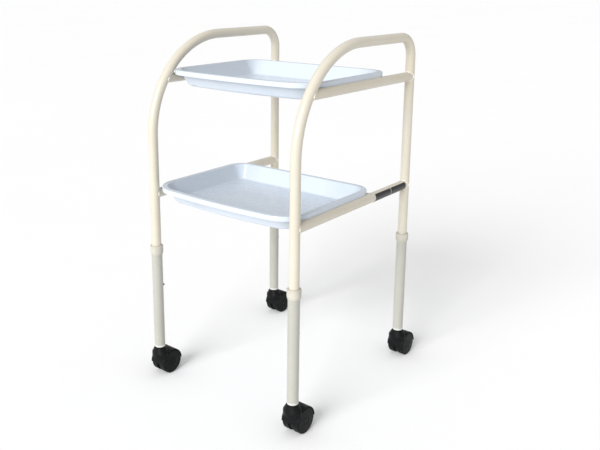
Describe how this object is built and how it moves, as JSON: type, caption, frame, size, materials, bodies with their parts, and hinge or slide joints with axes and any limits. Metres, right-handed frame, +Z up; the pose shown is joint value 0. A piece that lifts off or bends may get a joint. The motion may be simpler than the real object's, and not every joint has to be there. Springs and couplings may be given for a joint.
{
  "type": "instrument cart",
  "caption": "Light instrument cart: bent tube side frames with push handles, moulded dished trays, telescopic legs and swivelling hooded castors.",
  "frame": {"origin": "middle of the cart's footprint on the floor, at the bottom of its wheels", "axes": "+Z up; +X to the cart's right seen from its low, swept front; +Y from the swept front towards the upright rear legs and the end of the handles"},
  "size_m": [0.4446, 0.5097, 0.814],
  "materials": {
    "frame_enamel": "gloss",
    "lower_leg_enamel": "gloss",
    "tray_plastic": "gloss",
    "collar_plastic": "satin",
    "socket_plastic": "satin",
    "screw_black": "satin",
    "label_film": "satin",
    "castor_plastic": "satin",
    "wheel_plastic": "satin",
    "zinc_steel": "satin"
  },
  "bodies": {
    "cart_frame": {"side_frame_left": "frame_enamel", "side_frame_right": "frame_enamel", "upper_rail_left": "frame_enamel", "upper_rail_right": "frame_enamel", "upper_cross_tube": "frame_enamel", "upper_tray": "tray_plastic", "lower_rail_left": "frame_enamel", "lower_rail_right": "frame_enamel", "lower_cross_tube": "frame_enamel", "lower_tray": "tray_plastic", "rail_label_front": "label_film", "rail_label_rear": "label_film"},
    "leg_front_left": {"lower_leg_front_left": "lower_leg_enamel", "leg_collar_front_left": "collar_plastic", "leg_screw_front_left": "screw_black", "leg_socket_front_left": "socket_plastic"},
    "castor_front_left": {"castor_body_front_left": "castor_plastic", "castor_stem_front_left": "zinc_steel", "castor_axle_front_left": "zinc_steel"},
    "wheel_front_left_a": {"castor_wheel_front_left_a": "wheel_plastic"},
    "wheel_front_left_b": {"castor_wheel_front_left_b": "wheel_plastic"},
    "leg_front_right": {"lower_leg_front_right": "lower_leg_enamel", "leg_collar_front_right": "collar_plastic", "leg_screw_front_right": "screw_black", "leg_socket_front_right": "socket_plastic"},
    "castor_front_right": {"castor_body_front_right": "castor_plastic", "castor_stem_front_right": "zinc_steel", "castor_axle_front_right": "zinc_steel"},
    "wheel_front_right_a": {"castor_wheel_front_right_a": "wheel_plastic"},
    "wheel_front_right_b": {"castor_wheel_front_right_b": "wheel_plastic"},
    "leg_rear_right": {"lower_leg_rear_right": "lower_leg_enamel", "leg_collar_rear_right": "collar_plastic", "leg_screw_rear_right": "screw_black", "leg_socket_rear_right": "socket_plastic"},
    "castor_rear_right": {"castor_body_rear_right": "castor_plastic", "castor_stem_rear_right": "zinc_steel", "castor_axle_rear_right": "zinc_steel"},
    "wheel_rear_right_a": {"castor_wheel_rear_right_a": "wheel_plastic"},
    "wheel_rear_right_b": {"castor_wheel_rear_right_b": "wheel_plastic"},
    "leg_rear_left": {"lower_leg_rear_left": "lower_leg_enamel", "leg_collar_rear_left": "collar_plastic", "leg_screw_rear_left": "screw_black", "leg_socket_rear_left": "socket_plastic"},
    "castor_rear_left": {"castor_body_rear_left": "castor_plastic", "castor_stem_rear_left": "zinc_steel", "castor_axle_rear_left": "zinc_steel"},
    "wheel_rear_left_a": {"castor_wheel_rear_left_a": "wheel_plastic"},
    "wheel_rear_left_b": {"castor_wheel_rear_left_b": "wheel_plastic"}
  },
  "joints": [
    {"name": "leg_height_front_left", "type": "slide", "parent": "cart_frame", "child": "leg_front_left", "axis": [0, 0, -1], "range_m": [-0.025, 0.1]},
    {"name": "castor_swivel_front_left", "type": "hinge", "parent": "leg_front_left", "child": "castor_front_left", "pos_m": [-0.2, -0.23585, 0.06], "axis": [0, 0, 1], "continuous": true},
    {"name": "wheel_spin_front_left_a", "type": "hinge", "parent": "castor_front_left", "child": "wheel_front_left_a", "pos_m": [-0.21325, -0.21585, 0.0285], "axis": [1, 0, 0], "continuous": true},
    {"name": "wheel_spin_front_left_b", "type": "hinge", "parent": "castor_front_left", "child": "wheel_front_left_b", "pos_m": [-0.18675, -0.21585, 0.0285], "axis": [1, 0, 0], "continuous": true},
    {"name": "leg_height_front_right", "type": "slide", "parent": "cart_frame", "child": "leg_front_right", "axis": [0, 0, -1], "range_m": [-0.025, 0.1]},
    {"name": "castor_swivel_front_right", "type": "hinge", "parent": "leg_front_right", "child": "castor_front_right", "pos_m": [0.2, -0.23585, 0.06], "axis": [0, 0, 1], "continuous": true},
    {"name": "wheel_spin_front_right_a", "type": "hinge", "parent": "castor_front_right", "child": "wheel_front_right_a", "pos_m": [0.18675, -0.21585, 0.0285], "axis": [1, 0, 0], "continuous": true},
    {"name": "wheel_spin_front_right_b", "type": "hinge", "parent": "castor_front_right", "child": "wheel_front_right_b", "pos_m": [0.21325, -0.21585, 0.0285], "axis": [1, 0, 0], "continuous": true},
    {"name": "leg_height_rear_right", "type": "slide", "parent": "cart_frame", "child": "leg_rear_right", "axis": [0, 0, -1], "range_m": [-0.025, 0.1]},
    {"name": "castor_swivel_rear_right", "type": "hinge", "parent": "leg_rear_right", "child": "castor_rear_right", "pos_m": [0.2, 0.20415, 0.06], "axis": [0, 0, 1], "continuous": true},
    {"name": "wheel_spin_rear_right_a", "type": "hinge", "parent": "castor_rear_right", "child": "wheel_rear_right_a", "pos_m": [0.18675, 0.22415, 0.0285], "axis": [1, 0, 0], "continuous": true},
    {"name": "wheel_spin_rear_right_b", "type": "hinge", "parent": "castor_rear_right", "child": "wheel_rear_right_b", "pos_m": [0.21325, 0.22415, 0.0285], "axis": [1, 0, 0], "continuous": true},
    {"name": "leg_height_rear_left", "type": "slide", "parent": "cart_frame", "child": "leg_rear_left", "axis": [0, 0, -1], "range_m": [-0.025, 0.1]},
    {"name": "castor_swivel_rear_left", "type": "hinge", "parent": "leg_rear_left", "child": "castor_rear_left", "pos_m": [-0.2, 0.20415, 0.06], "axis": [0, 0, 1], "continuous": true},
    {"name": "wheel_spin_rear_left_a", "type": "hinge", "parent": "castor_rear_left", "child": "wheel_rear_left_a", "pos_m": [-0.21325, 0.22415, 0.0285], "axis": [1, 0, 0], "continuous": true},
    {"name": "wheel_spin_rear_left_b", "type": "hinge", "parent": "castor_rear_left", "child": "wheel_rear_left_b", "pos_m": [-0.18675, 0.22415, 0.0285], "axis": [1, 0, 0], "continuous": true}
  ]
}
